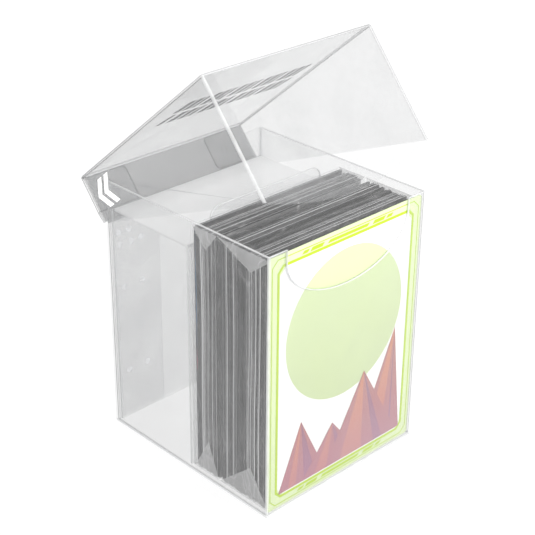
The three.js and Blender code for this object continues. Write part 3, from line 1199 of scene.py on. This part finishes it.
class DECK_OT_insert(bpy.types.Operator):
    """Builds the printed insert: a bordered card with a plain scene of hills under a large disc"""

    bl_idname = "deck.insert"
    bl_label = "Printed Insert"

    def execute(self, context):
        settings = context.scene.deck_print
        self.ink = settings.ink
        self.low, self.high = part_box("printed_insert")
        self.centre = (self.low.z + self.high.z) / 2
        pale = rgba(settings.border)
        card = ink_finish("insert_ground", pale, rgba(settings.border, 1.12), self.low.z, self.high.z)
        bm = bmesh.new()
        block(bm, self.low, self.high)
        bevel(bm, long_edges(bm.edges, 1, 0.1 * MM), 1 * MM, 4)
        ride(settle(make_object("insert_card", bm, [card])), "insert", "insert_print", "printed_insert")

        field = ink_finish("field_ink", (0.90, 0.91, 0.88, 1.0), grey(0.95), 0, 0.09)
        self.layer("insert_field", 1, self.field(), field)
        disc = ink_finish("disc_ink", rgba(settings.disc, 0.92), rgba(settings.disc, 1.15), 0.03, 0.09)
        self.layer("insert_disc", 2, self.disc(), disc)
        light, shade = Vector(settings.hill_light), Vector(settings.hill_shade)
        names = ("lit", "half_lit", "shaded")
        for number, (name, bm) in enumerate(zip(names, self.hills())):
            top = light.lerp(shade, number * 0.45)
            foot = (shade * 1.7).lerp(top, 0.4)
            finish = ink_finish(name + "_hill_ink", rgba(foot), rgba(top), 0.0, 0.04)
            self.layer("insert_hills_" + name, 3, bm, finish)
        line = ink_finish("border_line_ink", rgba(settings.line), rgba(settings.line, 1.1), 0, 0.09)
        self.layer("insert_border_lines", 3, self.border_lines(), line)
        return {"FINISHED"}

    def layer(self, name, number, bm, finish):
        """A layer of ink on the insert's front, each in front of the last."""
        level = self.low.y - self.ink * number
        bmesh.ops.recalc_face_normals(bm, faces=bm.faces)
        bmesh.ops.translate(bm, vec=(0, level, 0), verts=bm.verts)
        made = make_object(name, bm, [finish])
        thicken(made, "ink", self.ink * 0.9)
        ride(settle(made), "insert", "insert_print")

    def frame_panel(self, bm, inset, chamfer):
        """A panel as large as the insert less an inset, with its corners cut off."""
        across = self.high.x - inset
        bottom, top = self.low.z + inset, self.high.z - inset
        corners = [(-across, 0, bottom), (across, 0, bottom), (across, 0, top), (-across, 0, top)]
        panel(bm, corners)
        for corner in corners:
            round_corner(bm, corner, chamfer, segments=1)

    def field(self):
        """The pale ground inside the border."""
        bm = bmesh.new()
        self.frame_panel(bm, 4.6 * MM, 2.6 * MM)
        return bm

    def disc(self):
        """A large disc above the middle."""
        bm = bmesh.new()
        made = bmesh.ops.create_circle(bm, cap_ends=True, segments=72, radius=27 * MM)["verts"]
        bmesh.ops.rotate(bm, cent=(0, 0, 0), matrix=Matrix.Rotation(math.radians(90), 3, "X"), verts=made)
        bmesh.ops.translate(bm, vec=(0, 0, self.centre + 12 * MM), verts=made)
        return bm

    def hills(self):
        """Peaks from left to right; each has lit, half-lit and shaded facets that meet at its ridges."""
        foot = self.low.z + 5 * MM
        reach = self.high.x - 5 * MM
        tones = [bmesh.new() for _ in range(3)]
        # Each peak's place across, height, spread to each side, and the shift of its ridge.
        peaks = (
            (-0.66, 24 * MM, 0.40, -0.05),
            (0.84, 42 * MM, 0.62, 0.15),
            (-0.16, 17 * MM, 0.46, 0.0),
            (0.34, 31 * MM, 0.60, 0.08),
        )
        for order, (across, height, spread, lean) in enumerate(peaks):
            near = -self.ink * order
            apex = Vector((across * reach, near, foot + height))
            left = max(across - spread, -1) * reach
            right = min(across + spread, 1) * reach
            marks = (0.0, 0.2, 0.42 + lean, 0.6 + lean, 0.8, 1.0)
            feet = [Vector((left + (right - left) * mark, near, foot)) for mark in marks]
            for number, tone in enumerate((1, 0, 1, 2, 1)):
                panel(tones[tone], [feet[number], feet[number + 1], apex])
        return tones

    def border_lines(self):
        """Two lines round the border, and slanted bars at the middle of its top and bottom."""
        bm = bmesh.new()
        for inset, width in ((1.2 * MM, 0.3 * MM), (3.5 * MM, 0.9 * MM)):
            self.frame_panel(bm, inset, 2.4 * MM)
            face = [face for face in bm.faces if len(face.verts) == 8]
            bmesh.ops.inset_region(bm, faces=face, thickness=width, use_boundary=True, use_even_offset=True)
            bmesh.ops.delete(bm, geom=face, context="FACES")
        for sign in (-1, 1):
            level = self.centre + sign * ((self.high.z - self.low.z) / 2 - 2.5 * MM)
            bars = ((0, 9 * MM, 0.5), (-14 * MM, 2.6 * MM, 0.6), (14 * MM, 2.6 * MM, 0.6))
            for middle_x, half, rise in bars:
                self.slanted_bar(bm, middle_x, half, level, rise * MM)
            for middle_x in (-19 * MM, 19 * MM):
                self.slanted_bar(bm, middle_x, 1.2 * MM, level, 0.5 * MM)
        return bm

    def slanted_bar(self, bm, across, half, level, rise):
        """A bar that leans to the right."""
        lean = 0.5 * MM
        left, right, bottom, top = across - half, across + half, level - rise, level + rise
        upper = [(right + lean, 0, top), (left + lean, 0, top)]
        panel(bm, [(left - lean, 0, bottom), (right - lean, 0, bottom)] + upper)


# ---- Stage


class DECK_OT_stage(bpy.types.Operator):
    """Sets the camera, the floor and soft studio light"""

    bl_idname = "deck.stage"
    bl_label = "Stage"

    def execute(self, context):
        settings = context.scene.deck_stage
        self.camera(context, settings)
        self.floor(settings)
        self.lights(context)
        return {"FINISHED"}

    def camera(self, context, settings):
        level = math.cos(settings.elevation)
        across, along = -math.sin(settings.azimuth) * level, math.cos(settings.azimuth) * level
        view = Vector((across, along, -math.sin(settings.elevation)))
        data = bpy.data.cameras.new("camera")
        data.lens = settings.lens
        data.sensor_width = 36
        data.clip_start = 0.01
        camera = bpy.data.objects.new("camera", data)
        camera.location = Vector(settings.aim) - view * settings.distance
        upright = view.to_track_quat("-Z", "Y").to_matrix().to_4x4()
        turned = Matrix.Rotation(settings.roll, 4, "Z")
        camera.rotation_euler = (upright @ turned).to_euler()
        context.scene.collection.objects.link(camera)
        context.scene.camera = camera

    def floor(self, settings):
        bm = bmesh.new()
        bmesh.ops.create_circle(bm, cap_ends=True, segments=96, radius=6.0)
        finish, tree, shader = new_material("floor")
        grain = effect(tree, print_grain(), Size=60.0)
        darker, full = rgba(settings.floor, 0.995), rgba(settings.floor)
        colour = blend_colour(tree, grain.outputs["Mask"], darker, full)
        tree.links.new(colour, shader.inputs["Base Color"])
        shader.inputs["Roughness"].default_value = 0.8
        shader.inputs["Emission Color"].default_value = grey(1.0)
        shader.inputs["Emission Strength"].default_value = 0.92
        make_object("floor", bm, [finish])

    def lights(self, context):
        """A white world, brighter where it is seen than where it lights, and four soft square lamps."""
        world = bpy.data.worlds.new("studio")
        context.scene.world = world
        world.use_nodes = True
        tree = world.node_tree
        background = tree.nodes["Background"]
        background.inputs["Color"].default_value = grey(1.0)
        seen = add(tree, "ShaderNodeLightPath").outputs["Is Camera Ray"]
        plug(tree, background.inputs["Strength"], remap(tree, seen, 0.0, 1.0, 0.45, 1.0))
        context.scene.view_settings.view_transform = "Standard"
        context.scene.cycles.transparent_max_bounces = 32
        for name, place, size, energy in (
            ("key", (0.1, -0.1, 1.0), 0.6, 4.5),
            ("front", (0.45, -0.95, 0.4), 0.6, 9.5),
            ("side", (-0.95, -0.2, 0.35), 0.6, 3.0),
            ("back", (0.5, 0.8, 0.6), 0.8, 2.0),
        ):
            data = bpy.data.lights.new(name, "AREA")
            data.shape = "SQUARE"
            data.size = size
            data.energy = energy
            lamp = bpy.data.objects.new(name, data)
            lamp.location = place
            aim = Vector((0, 0, 60 * MM)) - Vector(place)
            lamp.rotation_euler = aim.to_track_quat("-Z", "Y").to_euler()
            context.scene.collection.objects.link(lamp)


# ---- Panel and registration


class DECK_PT_build(bpy.types.Panel):
    """Lists the steps that build the deck box, and their settings"""

    bl_idname = "DECK_PT_build"
    bl_label = "Deck Box"
    bl_space_type = "VIEW_3D"
    bl_region_type = "UI"
    bl_category = "Deck Box"

    def draw(self, context):
        for step in STEPS:
            self.layout.operator(step.bl_idname)
        for label, settings in (
            ("Sheet", context.scene.deck_sheet),
            ("Cards", context.scene.deck_cards),
            ("Print", context.scene.deck_print),
            ("Stage", context.scene.deck_stage),
        ):
            box = self.layout.box()
            box.label(text=label)
            for name in type(settings).__annotations__:
                box.prop(settings, name)


SETTINGS = {
    "deck_sheet": SheetSettings,
    "deck_cards": CardSettings,
    "deck_print": PrintSettings,
    "deck_stage": StageSettings,
}
STEPS = (
    DECK_OT_stage,
    DECK_OT_box_walls,
    DECK_OT_box_strip,
    DECK_OT_weld_spots,
    DECK_OT_lid,
    DECK_OT_hinge,
    DECK_OT_lid_marks,
    DECK_OT_cards,
    DECK_OT_films,
    DECK_OT_divider,
    DECK_OT_riser,
    DECK_OT_insert,
)


def register():
    for group in SETTINGS.values():
        bpy.utils.register_class(group)
    for name, group in SETTINGS.items():
        setattr(bpy.types.Scene, name, PointerProperty(type=group))
    for step in STEPS:
        bpy.utils.register_class(step)
    bpy.utils.register_class(DECK_PT_build)


def unregister():
    bpy.utils.unregister_class(DECK_PT_build)
    for step in reversed(STEPS):
        bpy.utils.unregister_class(step)
    for name in SETTINGS:
        delattr(bpy.types.Scene, name)
    for group in reversed(SETTINGS.values()):
        bpy.utils.unregister_class(group)


def main():
    register()
    bpy.ops.deck.stage()
    bpy.ops.deck.box_walls()
    bpy.ops.deck.box_strip()
    bpy.ops.deck.weld_spots()
    bpy.ops.deck.lid()
    bpy.ops.deck.hinge()
    bpy.ops.deck.lid_marks()
    bpy.ops.deck.cards()
    bpy.ops.deck.films()
    bpy.ops.deck.divider()
    bpy.ops.deck.riser()
    bpy.ops.deck.insert()


if __name__ == "__main__":
    main()
